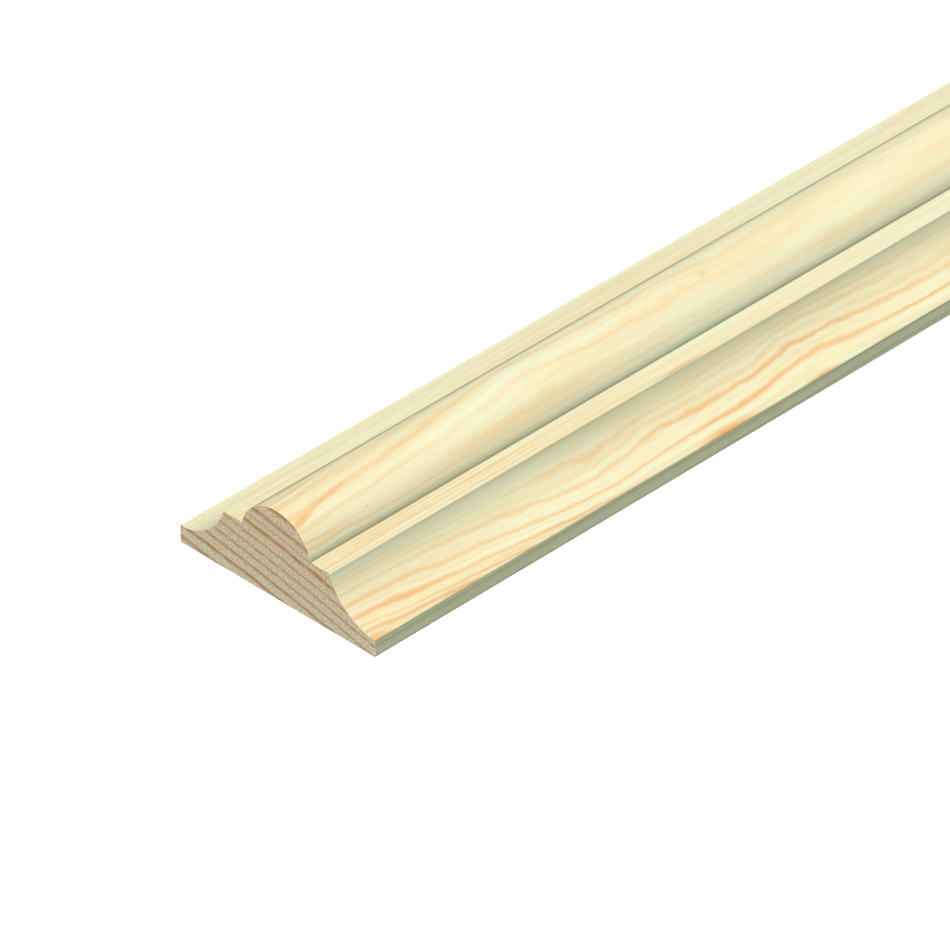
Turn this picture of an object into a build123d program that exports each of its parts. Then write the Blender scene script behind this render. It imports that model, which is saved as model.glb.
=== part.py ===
# Decorative timber moulding: one stick of planed softwood, as sold by the length.
# It lies on its flat back with the moulded face up. The stick runs along X, its width is
# along Y, and the origin is at the middle of the back.
# Both halves of the section are alike. From the long edge inwards they have a thin square
# edge, a cove that climbs to a flat fillet, and half of the round bead that crowns the face.

import os

from build123d import *

# Length of the stick
length = 2400.0

# Widths of the flats and curves across one half of the face, from the long edge inwards
edge_flat_width = 1.6
cove_width = 10.1
fillet_width = 4.8

# Width of the whole bead where it stands on the fillets
bead_width = 18.0

# Heights above the back: the square edge, the two fillets and the crown of the bead
edge_height = 4.0
fillet_height = 12.9
thickness = 20.0

# Hollow of the cove, from the straight line between its ends to the middle of its arc
cove_hollow = 1.84

# Radius that planing and a light sanding leave on each outer arris
arris_radius = 0.3

# Distances from the centre line of the section to where each form begins
bead_edge = bead_width / 2
cove_top = bead_edge + fillet_width
cove_foot = cove_top + cove_width
long_edge = cove_foot + edge_flat_width

# Corners of the half that is drawn, and the foot of the bead on the other half
back_corner = (-long_edge, 0)
edge_corner = (-long_edge, edge_height)
cove_start = (-cove_foot, edge_height)
cove_end = (-cove_top, fillet_height)
bead_start = (-bead_edge, fillet_height)
bead_crown = (0, thickness)
bead_end = (bead_edge, fillet_height)

# Plane of the near sawn end, which looks along the stick
sawn_end = Plane.YZ.offset(-length / 2)

with BuildPart() as moulding:
    with BuildSketch(sawn_end) as section:
        with BuildLine() as outline:
            Polyline((0, 0), back_corner, edge_corner, cove_start)
            SagittaArc(cove_start, cove_end, -cove_hollow)
            Line(cove_end, bead_start)
            mirror(outline.line, about=Plane.YZ)
            ThreePointArc(bead_start, bead_crown, bead_end)
        make_face()
        # In each row of corners at one height the outer two are arrises, and the rest are feet of curves
        rows = [row.sort_by(Axis.X) for row in section.vertices().group_by(Axis.Y)]
        fillet([corner for row in rows for corner in (row[0], row[-1])], radius=arris_radius)
    extrude(amount=length)

moulding.part.label = "moulding"

os.makedirs("parts", exist_ok=True)
export_step(moulding.part, "parts/moulding.step")
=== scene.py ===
import math

import bpy
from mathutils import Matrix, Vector


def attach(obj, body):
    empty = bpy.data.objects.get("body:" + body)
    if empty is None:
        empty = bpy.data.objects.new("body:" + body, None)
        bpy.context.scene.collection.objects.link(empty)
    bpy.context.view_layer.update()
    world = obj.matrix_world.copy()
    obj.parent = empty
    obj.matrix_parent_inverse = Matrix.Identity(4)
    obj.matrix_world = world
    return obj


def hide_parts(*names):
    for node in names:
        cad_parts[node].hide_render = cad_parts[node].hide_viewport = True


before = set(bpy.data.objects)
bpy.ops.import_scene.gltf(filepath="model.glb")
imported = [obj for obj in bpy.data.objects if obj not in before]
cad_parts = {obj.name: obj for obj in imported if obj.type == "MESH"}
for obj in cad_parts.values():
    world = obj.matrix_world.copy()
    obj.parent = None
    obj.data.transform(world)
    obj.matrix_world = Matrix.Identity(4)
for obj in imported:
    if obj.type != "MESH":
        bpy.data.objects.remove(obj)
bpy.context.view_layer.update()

MM = 0.001

# Section of the stick, as planed
length = 2400.0
long_edge = 25.5
cove_foot = 23.9
cove_top = 13.8
bead_edge = 9.0
edge_height = 4.0
fillet_height = 12.9
thickness = 20.0
cove_hollow = 1.84
arris_radius = 0.3

# How far sanding has rounded the arris of the sawn ends
sawn_arris = 0.05

# Into how many flats each curve and each wider flat is cut
bead_cuts = 24
cove_cuts = 24
arris_cuts = 5
sawn_arris_cuts = 4
side_cuts = 2
fillet_cuts = 3
back_cuts = 8
# How far apart the rings of corners stand along the stick
station_step = 25.0


def flat_run(start, end, cuts):
    """Points along a flat of the section, each with the way that it faces."""
    start, end = Vector(start), Vector(end)
    step = end - start
    facing = Vector((step.y, -step.x)).normalized()
    return [(start + step * i / cuts, facing) for i in range(cuts + 1)]


def round_run(centre, radius, first_angle, last_angle, cuts, hollow=False):
    """Points round a curve of the section, each with the way that it faces."""
    run = []
    for i in range(cuts + 1):
        angle = first_angle + (last_angle - first_angle) * i / cuts
        spoke = Vector((math.cos(angle), math.sin(angle)))
        run.append((Vector(centre) + radius * spoke, -spoke if hollow else spoke))
    return run


def far_half():
    """The half of the section beyond the crown, from its back arris up to the crown."""
    quarter = math.pi / 2
    side_centre = long_edge - arris_radius
    foot, top = Vector((cove_foot, edge_height)), Vector((cove_top, fillet_height))
    half_chord = (top - foot).length / 2
    cove_radius = (half_chord ** 2 + cove_hollow ** 2) / (2 * cove_hollow)
    chord = (top - foot).normalized()
    cove_centre = (foot + top) / 2 + Vector((chord.y, -chord.x)) * (cove_radius - cove_hollow)
    # The eased arris between cove and fillet touches both
    drop = cove_centre.y - (fillet_height - arris_radius)
    reach = math.sqrt((cove_radius + arris_radius) ** 2 - drop ** 2)
    arris_centre = Vector((cove_centre.x - reach, fillet_height - arris_radius))
    touch = math.atan2(drop, reach)
    foot_angle = math.atan2(foot.y - cove_centre.y, foot.x - cove_centre.x)
    bead_rise = thickness - fillet_height
    bead_radius = (bead_edge ** 2 + bead_rise ** 2) / (2 * bead_rise)
    bead_centre = Vector((0, thickness - bead_radius))
    bead_angle = math.atan2(fillet_height - bead_centre.y, bead_edge)
    return [
        round_run((side_centre, arris_radius), arris_radius, -quarter, 0, arris_cuts),
        flat_run((long_edge, arris_radius), (long_edge, edge_height - arris_radius), side_cuts),
        round_run((side_centre, edge_height - arris_radius), arris_radius, 0, quarter, arris_cuts),
        flat_run((side_centre, edge_height), (cove_foot, edge_height), 1),
        round_run(cove_centre, cove_radius, foot_angle, touch - math.pi, cove_cuts, hollow=True),
        round_run(arris_centre, arris_radius, touch, quarter, arris_cuts),
        flat_run((arris_centre.x, fillet_height), (bead_edge, fillet_height), fillet_cuts),
        round_run(bead_centre, bead_radius, bead_angle, quarter, bead_cuts),
    ]


def mirrored(runs):
    """The same runs on the other side of the crown, walked the other way."""
    flipped = []
    for run in reversed(runs):
        flipped.append([(Vector((-p.x, p.y)), Vector((-n.x, n.y))) for p, n in reversed(run)])
    return flipped


far_runs = far_half()
back_run = flat_run((arris_radius - long_edge, 0), (long_edge - arris_radius, 0), back_cuts)
runs = far_runs + mirrored(far_runs) + [back_run]
# The runs that were planed flat: the back arris and the side of each half, and the back
flat_runs = {0, 1, len(runs) - 3, len(runs) - 2, len(runs) - 1}

# One strip of faces for each flat or cut of a curve, with its place round the girth.
# The girth is measured from the far top arris, so that the moulded face runs from 0 to about 66.
strips = []
outline = []
girth = arris_radius - edge_height - arris_radius * math.pi / 2
for number, run in enumerate(runs):
    for (start, start_facing), (end, end_facing) in zip(run, run[1:]):
        reach = (end - start).length
        strips.append((start_facing, end_facing, girth, girth + reach, number in flat_runs))
        outline.append(start)
        girth += reach
girth_start = strips[0][2]
girth_length = girth - girth_start

# Stations along the stick: distance from the near sawn end, depth that the arris has lost, tilt
arris_turns = [(i + 1) / sawn_arris_cuts * math.pi / 2 for i in reversed(range(sawn_arris_cuts))]
near_stations = [
    (sawn_arris * (1 - math.sin(turn)), sawn_arris * (1 - math.cos(turn)), turn) for turn in arris_turns
]
body_count = round((length - 2 * sawn_arris) / station_step)
body_stations = [
    (sawn_arris + (length - 2 * sawn_arris) * i / body_count, 0, 0) for i in range(body_count + 1)
]
far_stations = [(length - along, depth, -turn) for along, depth, turn in reversed(near_stations)]
stations = near_stations + body_stations + far_stations

# The map that holds the finished colours. The surface is unrolled in two rows, one for each half of the
# length, above the two sawn ends, which lie side by side. All but the length are shares of the map.
row_length = length / 2
row_edge = 0.004
row_gap = 0.008
end_band = 0.09
end_edge = 0.006
end_width = 0.48
row_height = (1 - end_band - 3 * row_gap) / 2


def unrolled(along, place):
    """Where a point of the long surface lies on that map."""
    row = 1 if along > row_length else 0
    across = (place - girth_start) / girth_length
    return (
        row_edge + (1 - 2 * row_edge) * (along - row * row_length) / row_length,
        end_band + row_gap + row * (row_height + row_gap) + across * row_height,
    )


def end_place(point, end):
    """Where a point of a sawn end lies on that map."""
    return (
        end_edge + end / 2 + end_width * (long_edge - point.x) / (2 * long_edge),
        end_edge + (end_band - 2 * end_edge) * point.y / thickness,
    )


# The three finishes, in the order in which the stick takes them
moulded_finish = 0
flat_finish = 1
sawn_finish = 2

# The corners half way along lie on both rows of the map: on the second one, just past the middle
just_past = 1e-6


def stick_mesh():
    """The whole stick as one closed mesh: moulded face, square edges, back and two sawn ends."""
    count = len(outline)
    corners = []
    for along, depth, turn in stations:
        for i, point in enumerate(outline):
            facing = (strips[i][0] + strips[i - 1][1]).normalized()
            inset = point - facing * depth
            corners.append(((along - length / 2) * MM, inset.x * MM, inset.y * MM))
    faces, finishes, facings, stock, baked = [], [], [], [], []
    for k in range(len(stations) - 1):
        for i, (start_facing, end_facing, place, next_place, flat) in enumerate(strips):
            j = (i + 1) % count
            faces.append((k * count + i, k * count + j, (k + 1) * count + j, (k + 1) * count + i))
            finishes.append(flat_finish if flat else moulded_finish)
            middle = (stations[k][0] + stations[k + 1][0]) / 2
            for station, facing, where in (
                (k, start_facing, place),
                (k, end_facing, next_place),
                (k + 1, end_facing, next_place),
                (k + 1, start_facing, place),
            ):
                along, _, turn = stations[station]
                facings.append((-math.sin(turn), facing.x * math.cos(turn), facing.y * math.cos(turn)))
                stock.append((along, where))
                if middle < row_length:
                    along = min(along, row_length)
                else:
                    along = max(along, row_length + just_past)
                baked.append(unrolled(along, where))
    last = (len(stations) - 1) * count
    for end, order, direction in ((0, range(count - 1, -1, -1), -1), (1, range(last, last + count), 1)):
        faces.append(tuple(order))
        finishes.append(sawn_finish)
        for corner in order:
            point = Vector(corners[corner][1:]) / MM
            facings.append((direction, 0, 0))
            stock.append((long_edge - point.x, point.y))
            baked.append(end_place(point, end))
    mesh = bpy.data.meshes.new("moulding_stick")
    mesh.from_pydata(corners, [], faces)
    mesh.polygons.foreach_set("material_index", finishes)
    mesh.polygons.foreach_set("use_smooth", [True] * len(faces))
    for name, places in (("stock", stock), ("OFBake", baked)):
        layer = mesh.uv_layers.new(name=name)
        layer.data.foreach_set("uv", [value for place in places for value in place])
    mesh.normals_split_custom_set(facings)
    return mesh


def linear(colour):
    """A colour written as sRGB hex, such as F2E6BE, as the linear numbers that a shader takes."""
    parts = [int(colour[i:i + 2], 16) / 255 for i in (0, 2, 4)]
    return tuple(p / 12.92 if p <= 0.04045 else ((p + 0.055) / 1.055) ** 2.4 for p in parts) + (1.0,)


def node(tree, kind, inputs=None, **settings):
    """Adds a node with its settings and links.

    A socket is given by name or number, and takes a value, a socket or another node. A Mix node has its
    two numbers at 2 and 3 and its two colours at 6 and 7. A MapRange node has its value at 0, the range
    that it comes from at 1 and 2, and the range that it goes to at 3 and 4.
    """
    made = tree.nodes.new("ShaderNode" + kind)
    for name, value in settings.items():
        setattr(made, name, value)
    for name, value in (inputs or {}).items():
        if isinstance(name, int):
            socket = made.inputs[name]
        else:
            socket = next(s for s in made.inputs if s.name == name and s.enabled)
        if isinstance(value, bpy.types.Node):
            value = next(s for s in value.outputs if s.enabled)
        if isinstance(value, bpy.types.NodeSocket):
            tree.links.new(value, socket)
        else:
            socket.default_value = value
    return made


def grade(ramp, stops, interpolation="EASE"):
    """Sets a ramp's stops: places from 0 to 1, each with a grey or a colour."""
    ramp.color_ramp.interpolation = interpolation
    elements = ramp.color_ramp.elements
    for place, value in stops[2:]:
        elements.new(min(max(place, 0), 1))
    for element, (place, value) in zip(elements, sorted(stops, key=lambda stop: stop[0])):
        element.position = min(max(place, 0), 1)
        element.color = value if isinstance(value, tuple) else (value, value, value, 1)
    return ramp


def finish_wood(tree, colour, roughness, height, depth):
    """Joins colour, roughness and relief to the wood's shader. The relief's depth is in millimetres.

    The IOR is wood's own. Open fibres scatter the shine, so its level is set lower than the usual 0.5.
    """
    relief = node(tree, "Bump", {"Height": height, "Distance": depth * MM, "Strength": 1.0})
    wood = node(tree, "BsdfPrincipled", {
        "Base Color": colour, "Roughness": roughness, "Normal": relief, "IOR": 1.5, "Metallic": 0.0,
        "Specular IOR Level": 0.35,
    })
    node(tree, "OutputMaterial", {"Surface": wood})


def new_finish(name):
    """An empty node tree under the name of a finish."""
    material = bpy.data.materials.new(name)
    material.use_nodes = True
    material.node_tree.nodes.clear()
    return material, material.node_tree


# Latewood lines of the moulded face: place round the girth at the near sawn end, half width, strength
latewood_lines = [
    (0.8, 0.5, 0.4), (2.1, 0.5, 0.5), (3.4, 0.5, 0.35), (4.9, 0.6, 0.4), (6.2, 0.6, 0.3),
    (7.4, 0.6, 0.35), (8.9, 0.6, 0.3), (10.1, 0.6, 0.4), (11.6, 0.6, 0.35), (12.9, 0.6, 0.45),
    (14.3, 0.6, 0.3), (15.3, 0.5, 0.4), (16.2, 0.4, 0.55), (16.9, 0.35, 0.4), (17.6, 0.4, 0.6),
    (18.3, 0.35, 0.4), (19.0, 0.4, 0.5), (19.8, 0.35, 0.4), (20.9, 0.6, 0.4), (22.2, 0.8, 0.55),
    (23.6, 0.7, 0.45), (25.0, 0.9, 0.6), (26.3, 0.7, 0.45), (27.6, 0.8, 0.65), (29.4, 1.2, 0.75),
    (30.8, 0.6, 0.5), (32.7, 1.3, 0.85), (34.2, 0.5, 0.3), (36.2, 1.15, 0.95), (37.6, 0.4, 0.25),
    (39.1, 0.8, 0.7), (40.3, 0.4, 0.35), (41.5, 0.8, 0.8), (42.7, 0.6, 0.6), (44.0, 0.5, 0.4),
    (45.1, 0.5, 0.4), (45.9, 0.4, 0.65), (46.8, 0.35, 0.8), (47.5, 0.4, 0.75), (48.3, 0.45, 1.15),
    (48.95, 0.3, 0.6), (49.55, 0.35, 0.9), (50.7, 0.3, 0.15), (51.6, 0.4, 0.4), (52.4, 0.4, 0.5),
    (53.3, 0.5, 0.55), (54.4, 0.55, 1.0), (55.5, 0.4, 0.25), (56.7, 0.7, 1.15), (57.9, 0.5, 0.35),
    (59.4, 0.9, 1.15), (60.5, 0.5, 0.45), (61.5, 0.65, 0.95), (63.1, 0.95, 1.25), (64.4, 0.5, 0.35),
    (65.5, 0.8, 0.6), (67.2, 0.9, 0.6), (69.0, 0.9, 0.5),
]
# A ramp holds at most 32 stops, which is enough for ten lines, and reaches a little past them
lines_in_ramp = 10
ramp_margin = 1.5

# How far the lines have swayed across the stick, at places along the part that follows the photo.
# No sway is wider than the reach.
shown_length = 170.0
sway_reach = 6.0
sway = [(0, 0), (20, 1.7), (40, 3.4), (50, 4.2), (62, 5.2), (75, 4.7), (90, 4.2), (105, 4.4), (118, 3.2),
        (130, 3.8), (150, 4.8), (170, 4.6)]
# Further on the lines drift freely: how far apart the drift's turns are, where it takes over from the
# sway that the photo shows, and how far it goes to each side
drift_turn = 190.0
drift_start = 140.0
drift_full = 320.0
drift_least = -3.6
drift_most = 5.1
# Each part of the girth takes its own share of the sway: the bead's lines go one way, the cove's the other.
# No share is over the share's reach.
girth_shown = 66.0
share_reach = 1.2
sway_share = [(0, 0.1), (18, 0.1), (28, -1.15), (32, -1.1), (40, -0.27), (44, -0.03), (46, 0.0),
              (50.5, 0.03), (60, 1.05), (66, 1.15)]
# The most that small waves can throw a line to either side
wave_reach = 0.7

# Where the two fillets lie round the girth
fillet_spans = [(15.4, 0), (15.8, 1), (20.4, 1), (21, 0), (44.8, 0), (45.4, 1), (49.9, 1), (50.4, 0)]
# Where the lines below the bead take their strength from the cove, and then from its foot
cove_turn = (46.0, 53.0)
foot_turn = (57.2, 58.0)
# How strong the lines are along the stick, on the bead and on the cove
bead_vigour = [(0, 1.0), (8, 1.0), (20, 0.85), (45, 0.7), (80, 0.7), (110, 0.65), (130, 0.5), (170, 0.55)]
cove_vigour = [(0, 0.75), (20, 0.65), (45, 0.68), (60, 0.88), (75, 1.0), (120, 1.0), (170, 0.9)]
# The fillets' fine lines fade sooner
fillet_vigour = [(0, 1.0), (40, 1.0), (65, 0.7), (85, 0.75), (110, 0.5), (170, 0.4)]
# On the foot of the cove the lines fade after the first stretch
foot_vigour = [(0, 1.0), (45, 1.0), (62, 0.7), (75, 0.3), (110, 0.25), (140, 0.3), (170, 0.6)]

# Marks on the face: along, round the girth, half length, half width, slope, colour, strength.
# The first is the brown line along the near top arris, and the last four are small pin knots.
marks = [
    (1200.0, 66.0, 3000.0, 0.5, 0, "B39A6E", 0.85),
    (20.0, 40.4, 22.0, 3.0, 0, "E8E1BC", 0.8),
    (2.0, 37.4, 6.5, 1.15, -15, "EAB579", 0.85),
    (10.5, 35.5, 8.0, 0.8, -8, "EAB781", 0.8),
    (6.0, 30.1, 9.0, 0.8, -5, "E7BE92", 0.7),
    (1.0, 65.4, 6.0, 2.0, 12, "EBB97C", 0.9),
    (93.0, 66.2, 10.5, 2.9, 0, "E9AC6A", 1.0),
    (119.0, 66.2, 7.5, 2.1, 0, "E8B27A", 0.95),
    (137.0, 66.2, 5.5, 1.5, 0, "E8BC8A", 0.7),
    (92.0, 49.6, 9.0, 0.55, 0, "DDB98A", 0.9),
    (110.0, 34.8, 1.6, 1.0, 0, "DFBE90", 0.6),
    (110.5, 55.7, 1.4, 0.5, -20, "D6D0A6", 0.4),
    (16.0, 41.0, 0.4, 0.3, 0, "A39A6C", 0.6),
    (431.0, 57.5, 2.0, 1.2, 0, "C99A63", 0.7),
    (905.0, 30.5, 1.8, 1.1, 0, "D3A873", 0.6),
    (1372.0, 38.0, 2.2, 1.3, 0, "C99A63", 0.7),
    (1914.0, 59.0, 2.0, 1.1, 0, "D3A873", 0.7),
]
# Painted shade on the steep shoulders and feet, darkening the crevices at the bead's feet, the top of the
# cove and the bead's far flank: place round the girth, depth of tone
painted_shade_places = [(0, 0.1), (1.6, 0.1), (2.4, 0), (5, 0), (6, 0.1), (20.4, 0.1), (20.6, 0.5), (21.2, 0.15),
           (22.2, 0.05), (24.0, 0.15), (25.4, 0.55), (26.6, 0.78), (27.6, 0.38), (28.6, 0), (43.2, 0),
           (44.3, 0.25), (44.6, 0.5), (44.9, 0.95), (45.1, 0.5), (45.25, 0), (49.9, 0), (50.2, 0.42),
           (50.7, 0.2), (51.4, 0.17), (53, 0.08), (55, 0)]
# The painted shade is browner on the far flank of the bead and greener on the near one
painted_shade_hue_turn = (30.0, 40.0)


def streaks(tree, where, long, wide, detail, roughness=0.5):
    """Soft streaks along the stick. Their usual length and width are in millimetres."""
    stretched = node(tree, "VectorMath", {0: where, 1: (1 / long, 1 / wide, 0)}, operation="MULTIPLY")
    return node(tree, "TexNoise", {
        "Vector": stretched, "Scale": 1.0, "Detail": detail, "Roughness": roughness}, noise_dimensions="2D")


def round_face(tree, round_it, places, interpolation="LINEAR"):
    """A strength that changes round the face, given as places round the girth."""
    share = node(tree, "Math", {0: round_it, 1: girth_shown}, operation="DIVIDE", use_clamp=True)
    stops = [(x / girth_shown, y) for x, y in places]
    return grade(node(tree, "ValToRGB", {0: share}), stops, interpolation)


def along_stick(tree, along, places):
    """A strength that changes along the stick, given as distances from the near sawn end."""
    share = node(tree, "Math", {0: along, 1: shown_length}, operation="DIVIDE", use_clamp=True)
    stops = [(x / shown_length, y) for x, y in places]
    return grade(node(tree, "ValToRGB", {0: share}), stops, "CARDINAL")


def ring_place(tree, place, along, round_it, on_fillet):
    """Which line of the sawn end a point of the face belongs to, as a place round the girth there."""
    near_sway = along_stick(tree, along, [(x, y / sway_reach) for x, y in sway])
    drift = node(tree, "TexNoise", {
        "W": along, "Scale": 1 / drift_turn, "Detail": 1.5}, noise_dimensions="1D")
    drift = node(tree, "MapRange", {
        0: drift, 1: 0.25, 2: 0.75, 3: drift_least / sway_reach, 4: drift_most / sway_reach})
    drifting = node(tree, "MapRange", {0: along, 1: drift_start, 2: drift_full},
                    interpolation_type="SMOOTHSTEP")
    swayed = node(tree, "Mix", {"Factor": drifting, 2: near_sway.outputs[0], 3: drift})
    # A ramp holds numbers from 0 to 1, so the shares are squeezed into them and spread again
    share = [(x, (y + share_reach) / (2 * share_reach)) for x, y in sway_share]
    share = round_face(tree, round_it, share, "CARDINAL")
    share = node(tree, "MapRange", {0: share, 3: -share_reach * sway_reach, 4: share_reach * sway_reach})
    swayed = node(tree, "Math", {0: swayed, 1: share}, operation="MULTIPLY")

    # Small waves in each line, 14 mm long, with finer ones in them. They are calmer on the fillets.
    waves = streaks(tree, place, 14, 5, detail=3.0, roughness=0.6)
    waves = node(tree, "MapRange", {0: waves, 3: -wave_reach, 4: wave_reach}, clamp=False)
    calmer = node(tree, "MapRange", {0: on_fillet, 3: 1.0, 4: 0.35})
    waves = node(tree, "Math", {0: waves, 1: calmer}, operation="MULTIPLY")
    ring = node(tree, "Math", {0: round_it, 1: swayed}, operation="SUBTRACT")
    return node(tree, "Math", {0: ring, 1: waves}, operation="ADD")


def line_stops(lines):
    """Stops for a few latewood lines: up and down for each, with a valley where two of them overlap."""
    first_middle, first_half, _ = lines[0]
    stops = [(first_middle - first_half, 0.0)]
    for line, after in zip(lines, lines[1:]):
        middle, half_width, strength = line
        after_middle, after_half, after_strength = after
        stops.append((middle, strength))
        gap = after_middle - middle
        if half_width + after_half <= gap:
            stops += [(middle + half_width, 0.0), (after_middle - after_half, 0.0)]
        else:
            slope_down = strength * (1 - gap / 2 / half_width)
            slope_up = after_strength * (1 - gap / 2 / after_half)
            stops.append((middle + gap / 2, max(slope_down, slope_up, 0)))
    last_middle, last_half, last_strength = lines[-1]
    return stops + [(last_middle, last_strength), (last_middle + last_half, 0.0)]


def main_lines(tree, ring):
    """The latewood lines that are listed above, ten to each ramp."""
    latewood = None
    for first in range(0, len(latewood_lines), lines_in_ramp):
        lines = latewood_lines[first:first + lines_in_ramp]
        low = lines[0][0] - ramp_margin
        high = lines[-1][0] + ramp_margin
        stops = [((spot - low) / (high - low), value) for spot, value in line_stops(lines)]
        spot = node(tree, "MapRange", {0: ring, 1: low, 2: high})
        found = grade(node(tree, "ValToRGB", {0: spot}), stops, "LINEAR")
        if latewood is None:
            latewood = found
        else:
            latewood = node(tree, "Math", {0: latewood, 1: found}, operation="ADD")
    return latewood


def latewood_strength(tree, along, round_it, ring, on_fillet):
    """How strong the latewood lines are on the bead, on the fillets, on the cove and at its foot."""
    at_foot = node(tree, "MapRange", {0: ring, 1: foot_turn[0], 2: foot_turn[1]},
                   interpolation_type="SMOOTHSTEP")
    on_cove = along_stick(tree, along, cove_vigour)
    on_foot = along_stick(tree, along, foot_vigour)
    on_cove = node(tree, "Mix", {"Factor": at_foot, 2: on_cove.outputs[0], 3: on_foot.outputs[0]})
    below_bead = node(tree, "MapRange", {0: round_it, 1: cove_turn[0], 2: cove_turn[1]},
                      interpolation_type="SMOOTHSTEP")
    on_bead = along_stick(tree, along, bead_vigour)
    vigour = node(tree, "Mix", {"Factor": below_bead, 2: on_bead.outputs[0], 3: on_cove})
    on_flat = along_stick(tree, along, fillet_vigour)
    return node(tree, "Mix", {"Factor": on_fillet.outputs[0], 2: vigour, 3: on_flat.outputs[0]})


def with_marks(tree, place, colour):
    """Lays the single marks over the face, each a soft-edged oval."""
    for x, spot, half_length, half_width, slope, shade, strength in marks:
        away = node(tree, "Mapping", {
            "Vector": place, "Location": (x, spot, 0), "Rotation": (0, 0, math.radians(slope)),
            "Scale": (half_length, half_width, 1)}, vector_type="TEXTURE")
        away = node(tree, "VectorMath", {0: away}, operation="LENGTH")
        cover = node(tree, "MapRange", {0: away, 1: 1.0, 2: 0.25, 3: 0.0, 4: strength},
                     interpolation_type="SMOOTHSTEP")
        colour = node(tree, "Mix", {"Factor": cover, 6: colour, 7: linear(shade)}, data_type="RGBA")
    return colour


def moulded_face():
    """Pine, planed by shaped knives and left bare.

    The knives cut it clean, so it is pale, smooth and nearly matt. Cream earlywood carries soft orange
    latewood lines, mostly 0.6 to 2 mm wide, and fibres 0.3 mm wide that run along the stick.
    """
    material, tree = new_finish("planed_pine_moulded_face")
    place = node(tree, "UVMap", uv_map="stock")
    parts = node(tree, "SeparateXYZ", {0: place})
    along, round_it = parts.outputs[0], parts.outputs[1]
    on_fillet = round_face(tree, round_it, fillet_spans)
    ring = ring_place(tree, place, along, round_it, on_fillet)
    in_wood = node(tree, "CombineXYZ", {0: along, 1: ring})

    # Each line is stronger in some stretches than in others
    latewood = main_lines(tree, ring)
    uneven = streaks(tree, in_wood, 45, 1.7, detail=1.0)
    faintest = node(tree, "MapRange", {0: on_fillet, 3: 0.7, 4: 0.1})
    uneven = node(tree, "MapRange", {0: uneven, 1: 0.3, 2: 0.7, 3: faintest, 4: 1.15})
    latewood = node(tree, "Math", {0: latewood, 1: uneven}, operation="MULTIPLY", use_clamp=True)
    # Between them run finer lines, about half a millimetre wide
    fine = streaks(tree, in_wood, 50, 0.55, detail=1.0)
    fine_strength = node(tree, "MapRange", {0: on_fillet, 3: 0.2, 4: 0.5})
    fine = node(tree, "MapRange", {0: fine, 1: 0.5, 2: 0.72, 4: fine_strength})
    latewood = node(tree, "Math", {0: latewood, 1: fine}, operation="ADD", use_clamp=True)
    vigour = latewood_strength(tree, along, round_it, ring, on_fillet)
    latewood = node(tree, "Math", {0: latewood, 1: vigour}, operation="MULTIPLY", use_clamp=True)

    # Broad bands of slightly yellower and slightly whiter earlywood, with the latewood over them
    bands = streaks(tree, in_wood, 70, 2.6, detail=2.0)
    bands = node(tree, "MapRange", {0: bands, 1: 0.35, 2: 0.65})
    earlywood = node(tree, "Mix", {
        "Factor": bands, 6: linear("E8E0BA"), 7: linear("E8E9C9")}, data_type="RGBA")
    tint = grade(node(tree, "ValToRGB", {0: latewood}),
                 [(0.0, linear("FFFFFF")), (0.3, linear("FFF7EE")), (0.6, linear("FFEAD6")),
                  (1.0, linear("FFD2B4"))], "LINEAR")
    colour = node(tree, "Mix", {
        "Factor": 1.0, 6: earlywood, 7: tint.outputs[0]}, data_type="RGBA", blend_type="MULTIPLY")
    # Fibres, 8 mm long and 0.3 mm wide
    fibres = streaks(tree, place, 8, 0.3, detail=3.0)
    streak = grade(node(tree, "ValToRGB", {0: fibres}),
                   [(0.3, linear("FBFAF5")), (0.7, linear("FFFFFF"))], "LINEAR")
    colour = node(tree, "Mix", {
        "Factor": 1.0, 6: colour, 7: streak.outputs[0]}, data_type="RGBA", blend_type="MULTIPLY")
    # Painted shade: the crevices at the bead's feet, the top of the cove and the bead's far flank are
    # darkened in the colour
    painted_shade = round_face(tree, round_it, painted_shade_places)
    far_to_near = node(tree, "MapRange", {0: round_it, 1: painted_shade_hue_turn[0], 2: painted_shade_hue_turn[1]})
    painted_shade_colour = node(tree, "Mix", {
        "Factor": far_to_near, 6: linear("989872"), 7: linear("959C7A")}, data_type="RGBA")
    colour = node(tree, "Mix", {"Factor": painted_shade.outputs[0], 6: colour, 7: painted_shade_colour}, data_type="RGBA")
    colour = with_marks(tree, place, colour)

    # Latewood is harder than earlywood: it is cut smoother and stands a little proud
    roughness = node(tree, "MapRange", {0: latewood, 3: 0.62, 4: 0.5})
    height = node(tree, "Math", {0: fibres, 1: 0.4, 2: latewood}, operation="MULTIPLY_ADD")
    finish_wood(tree, colour, roughness, height, depth=0.02)
    return material


# Growth rings in the sawn end: distance from the middle ring, half width, darkness
growth_rings = [
    (-12.1, 0.75, 0.9), (-9.3, 0.7, 1.0), (-6.65, 0.65, 0.85), (-4.35, 0.55, 0.75), (-2.1, 0.55, 0.7),
    (0.2, 0.5, 0.7), (2.85, 0.85, 1.0), (4.6, 0.4, 0.45), (6.6, 0.8, 0.9), (9.6, 0.8, 0.9),
]
ring_spacing = 2.42
ring_margin = 1.4
# A line comes up slowly on its inner side and ends sharply on its outer side, as latewood does
slow_side = 1.2
sharp_side = 0.8
# The heart of the tree lay below the stick and beyond its far edge: its place across and in height
heart = (71.3, -383.7)
heart_distance = 400.0


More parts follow.
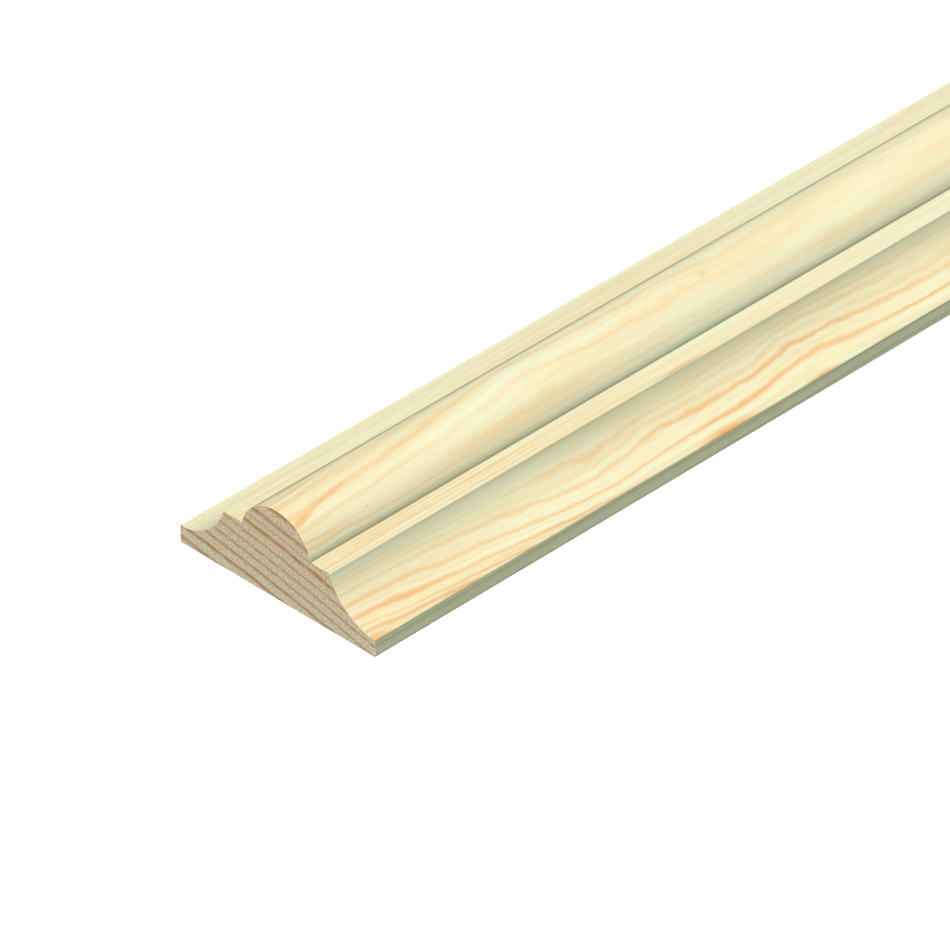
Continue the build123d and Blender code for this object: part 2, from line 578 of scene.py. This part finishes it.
def ring_distance(tree, place, reach, wave):
    """Distance from the heart less that of the middle ring, with the rings waved a little."""
    waves = node(tree, "TexNoise", {"Vector": place, "Scale": 1 / reach, "Detail": 2.0})
    waves = node(tree, "MapRange", {0: waves, 3: -wave, 4: wave}, clamp=False)
    flat = node(tree, "VectorMath", {0: place, 1: (0, 1, 1)}, operation="MULTIPLY")
    away = node(tree, "VectorMath", {0: flat, 1: (0, *heart)}, operation="DISTANCE")
    away = node(tree, "Math", {0: away.outputs[1], 1: heart_distance}, operation="SUBTRACT")
    return node(tree, "Math", {0: away, 1: waves}, operation="ADD")


def sawn_end():
    """Pine, sawn across and left bare.

    The saw leaves the cut cells open, so the end is darker, greyer and rougher than the face, and
    speckled. Growth rings about 2.4 mm apart cross it.
    """
    material, tree = new_finish("sawn_pine_end")
    place = node(tree, "TexCoord").outputs["Object"]
    place = node(tree, "VectorMath", {0: place, 3: 1 / MM}, operation="SCALE")
    ring = ring_distance(tree, place, reach=4.0, wave=0.45)
    low = growth_rings[0][0] - ring_margin
    high = growth_rings[-1][0] + ring_margin
    stops = []
    for middle, half_width, darkness in growth_rings:
        inner, outer = middle - half_width * slow_side, middle + half_width * sharp_side
        stops += [(inner, 0.0), (middle, darkness), (outer, 0.0)]
    stops = [((spot - low) / (high - low), value) for spot, value in stops]
    spot = node(tree, "MapRange", {0: ring, 1: low, 2: high})
    latewood = grade(node(tree, "ValToRGB", {0: spot}), stops)
    # Each ring is darker in some patches, about 2 mm wide, than in others
    patches = node(tree, "TexNoise", {"Vector": place, "Scale": 1 / 2.0, "Detail": 3.0})
    vigour = node(tree, "MapRange", {0: patches, 1: 0.3, 2: 0.7, 3: 0.55, 4: 1.3})
    latewood = node(tree, "Math", {0: latewood, 1: vigour}, operation="MULTIPLY", use_clamp=True)
    # The cell mouths are far finer than a millimetre, and are drawn as specks of 0.5 mm
    specks = node(tree, "TexNoise", {"Vector": place, "Scale": 1 / 0.5, "Detail": 3.0, "Roughness": 0.7})
    # The ground turns from brown to grey and back over about a millimetre
    hues = node(tree, "TexNoise", {"Vector": place, "Scale": 1 / 1.1, "Detail": 2.0})
    hues = node(tree, "MapRange", {0: hues, 1: 0.35, 2: 0.65, 3: -0.25, 4: 0.25})
    # It is greyer towards the back of the stick
    height_above_back = node(tree, "SeparateXYZ", {0: place}).outputs[2]
    greyer = node(tree, "MapRange", {0: height_above_back, 1: 10.0, 2: 2.0, 3: 0.25, 4: 0.65})
    greyer = node(tree, "Math", {0: greyer, 1: hues}, operation="ADD", use_clamp=True)
    ground = node(tree, "Mix", {
        "Factor": greyer, 6: linear("DEC7A2"), 7: linear("D6D3B8")}, data_type="RGBA")
    shade = grade(node(tree, "ValToRGB", {0: specks}),
                  [(0.32, linear("BEBBB7")), (0.66, linear("FFFFFF"))], "LINEAR")
    ground = node(tree, "Mix", {
        "Factor": 1.0, 6: ground, 7: shade.outputs[0]}, data_type="RGBA", blend_type="MULTIPLY")
    hue = node(tree, "Mix", {
        "Factor": patches, 6: linear("9A7042"), 7: linear("B27C46")}, data_type="RGBA")
    colour = node(tree, "Mix", {"Factor": latewood, 6: ground, 7: hue}, data_type="RGBA")
    height = node(tree, "Math", {0: specks, 1: latewood}, operation="ADD")
    finish_wood(tree, colour, 0.85, height, depth=0.05)
    return material


# Where the line along the near edge lies round the girth
edge_line = (65.6, 67.1)


def planed_flats():
    """Pine, planed flat: the back and the square edges.

    It is sawn nearly along its rings, so broad latewood bands wander over the back, and a line or two
    runs along each edge. The flat knives leave it a touch rougher than the face.
    """
    material, tree = new_finish("planed_pine_back_and_edges")
    place = node(tree, "TexCoord").outputs["Object"]
    place = node(tree, "VectorMath", {0: place, 3: 1 / MM}, operation="SCALE")
    # The rings run on along the stick, so their waves are 14 times as long as they are wide
    stretched = node(tree, "VectorMath", {0: place, 1: (1 / 14, 1, 1)}, operation="MULTIPLY")
    ring = ring_distance(tree, stretched, reach=22.0, wave=5.0)
    turns = node(tree, "Math", {0: ring, 1: ring_spacing}, operation="DIVIDE")
    phase = node(tree, "Math", {0: turns}, operation="FRACT")
    latewood = grade(node(tree, "ValToRGB", {0: phase}), [(0.45, 0.0), (0.9, 1.0), (0.99, 0.0)])
    # Fibres, 22 mm long and 0.35 mm wide
    stretched = node(tree, "VectorMath", {0: place, 1: (1 / 22, 1 / 0.35, 1 / 0.35)}, operation="MULTIPLY")
    fibres = node(tree, "TexNoise", {"Vector": stretched, "Scale": 1.0, "Detail": 3.0})
    tint = grade(node(tree, "ValToRGB", {0: latewood}),
                 [(0.0, linear("E2E0BC")), (0.5, linear("E0DAB4")), (1.0, linear("D3CAA0"))], "LINEAR")
    streak = grade(node(tree, "ValToRGB", {0: fibres}),
                   [(0.3, linear("F4F2EA")), (0.7, linear("FFFFFF"))], "LINEAR")
    colour = node(tree, "Mix", {
        "Factor": 1.0, 6: tint.outputs[0], 7: streak.outputs[0]}, data_type="RGBA", blend_type="MULTIPLY")
    # A latewood line comes out just under the top arris of the near edge
    round_it = node(tree, "SeparateXYZ", {0: node(tree, "UVMap", uv_map="stock")}).outputs[1]
    on_edge = node(tree, "MapRange", {0: round_it, 1: edge_line[0], 2: edge_line[1]})
    line = grade(node(tree, "ValToRGB", {0: on_edge}), [(0.1, 0.0), (0.25, 0.3), (0.4, 0.0)])
    colour = node(tree, "Mix", {
        "Factor": line.outputs[0], 6: colour, 7: linear("B39A6E")}, data_type="RGBA")
    roughness = node(tree, "MapRange", {0: latewood, 3: 0.66, 4: 0.55})
    height = node(tree, "Math", {0: fibres, 1: 0.4, 2: latewood}, operation="MULTIPLY_ADD")
    finish_wood(tree, colour, roughness, height, depth=0.03)
    return material


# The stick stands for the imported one, which has the same shape with coarser curves
stick = bpy.data.objects.new("moulding_stick", stick_mesh())
bpy.context.scene.collection.objects.link(stick)
for finish in (moulded_face(), planed_flats(), sawn_end()):
    stick.data.materials.append(finish)
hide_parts("moulding")
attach(stick, "root")
# The light of the boxes falls straight on the wood, and none is thrown from one flank to the next
stick.visible_diffuse = False

# Studio floor: how far it reaches, how high it climbs as a wall, and how much of its reach is the curve.
# The first two are in metres.
floor_reach = 100.0
wall_height = 60.0
curve_share = 0.4
floor_sides = 48
# A hair above the stick's back, so that from below the back shows and not the floor
floor_lift = 0.02


def floor_mesh():
    """A round sheet that curves up into a wall far behind the stick."""
    points = [(0, 0, 0)]
    for rise in range(0, 91, 15):
        turn = math.cos(math.radians(rise))
        reach = floor_reach * (1 - turn * curve_share)
        for i in range(floor_sides):
            angle = 2 * math.pi * i / floor_sides
            points.append((reach * math.cos(angle), reach * math.sin(angle), wall_height * (1 - turn)))
    faces = [(0, 1 + i, 1 + (i + 1) % floor_sides) for i in range(floor_sides)]
    for inner in range(1, len(points) - floor_sides, floor_sides):
        outer = inner + floor_sides
        for i in range(floor_sides):
            j = (i + 1) % floor_sides
            faces.append((inner + i, outer + i, outer + j, inner + j))
    mesh = bpy.data.meshes.new("studio_floor")
    mesh.from_pydata(points, [], faces)
    return mesh


def lit_acrylic():
    """White acrylic sheet, cast smooth and lit from below, so it looks white and evenly bright."""
    material, tree = new_finish("lit_white_acrylic")
    # Faint patches, as wide as a room, keep it from being one flat white
    patches = node(tree, "TexNoise", {"Scale": 3.0, "Detail": 2.0})
    white = grade(node(tree, "ValToRGB", {0: patches}),
                  [(0.3, linear("F7F7F7")), (0.7, linear("F9F9F9"))], "LINEAR")
    sheet = node(tree, "BsdfDiffuse", {"Color": white.outputs[0]})
    glow = node(tree, "Emission", {"Color": linear("BCAAAA"), "Strength": 0.995})
    lit_sheet = node(tree, "AddShader", {0: sheet, 1: glow})
    node(tree, "OutputMaterial", {"Surface": lit_sheet})
    return material


floor = bpy.data.objects.new("studio_floor", floor_mesh())
floor.data.materials.append(lit_acrylic())
floor.location.z = floor_lift * MM
bpy.context.scene.collection.objects.link(floor)
floor.visible_diffuse = False
floor.visible_glossy = False
floor.visible_shadow = False


# How wide each soft box looks from the stick
soft_box_width = math.radians(30)


def soft_light(name, direction, energy, colour):
    """A wide soft box a long way off, in the direction given, so it lights the whole stick alike."""
    lamp = bpy.data.lights.new(name, "SUN")
    lamp.energy = energy
    lamp.color = colour
    lamp.angle = soft_box_width
    light = bpy.data.objects.new(name, lamp)
    light.rotation_mode = "QUATERNION"
    light.rotation_quaternion = Vector(direction).to_track_quat("Z", "Y")
    bpy.context.scene.collection.objects.link(light)


# The key light stands high on the near left, and a weak one behind softens the slopes that face away
soft_light("key_light", (-0.6, -0.274, 0.752), 4.65, (1.0, 0.893, 0.893))
soft_light("far_light", (0.5, 0.8, 0.33), 0.35, (1.0, 1.0, 1.0))
# The lit floor throws light up at the far flank, the far end and the back
soft_light("floor_glow_behind", (0.0, 0.9, -0.43), 1.8, (1.0, 0.92, 0.92))
soft_light("floor_glow_at_far_end", (0.9, 0.0, -0.43), 1.8, (1.0, 0.92, 0.92))
soft_light("floor_glow_below", (0.0, 0.0, -1.0), 1.0, (1.0, 0.893, 0.893))

# Fill: the cool light of the room's pale walls, from all round
world = bpy.data.worlds.new("studio_walls")
world.use_nodes = True
world.node_tree.nodes.clear()
walls = node(world.node_tree, "Background", {"Color": (0.038, 0.148, 0.148, 1), "Strength": 1.0})
node(world.node_tree, "OutputWorld", {"Surface": walls})
bpy.context.scene.world = world
bpy.context.scene.view_settings.view_transform = "Standard"

# Camera: a long lens, above the near sawn end, that looks along and across the stick. The aim and the
# distance are in metres, and the lens and its sensor in millimetres.
aim = Vector((-1.156648, -0.008006, 0.010))
camera_distance = 1.888922
camera_height_angle = math.radians(35.4607)
camera_heading = math.radians(-45.2572)
lens = bpy.data.cameras.new("camera")
lens.lens = 388.365
lens.sensor_width = 36.0
lens.clip_start = 0.1
lens.clip_end = 400.0
camera = bpy.data.objects.new("camera", lens)
camera.rotation_euler = (math.pi / 2 - camera_height_angle, 0, camera_heading)
bpy.context.scene.collection.objects.link(camera)
view_line = camera.rotation_euler.to_matrix() @ Vector((0, 0, 1))
camera.location = aim + view_line * camera_distance
bpy.context.scene.camera = camera
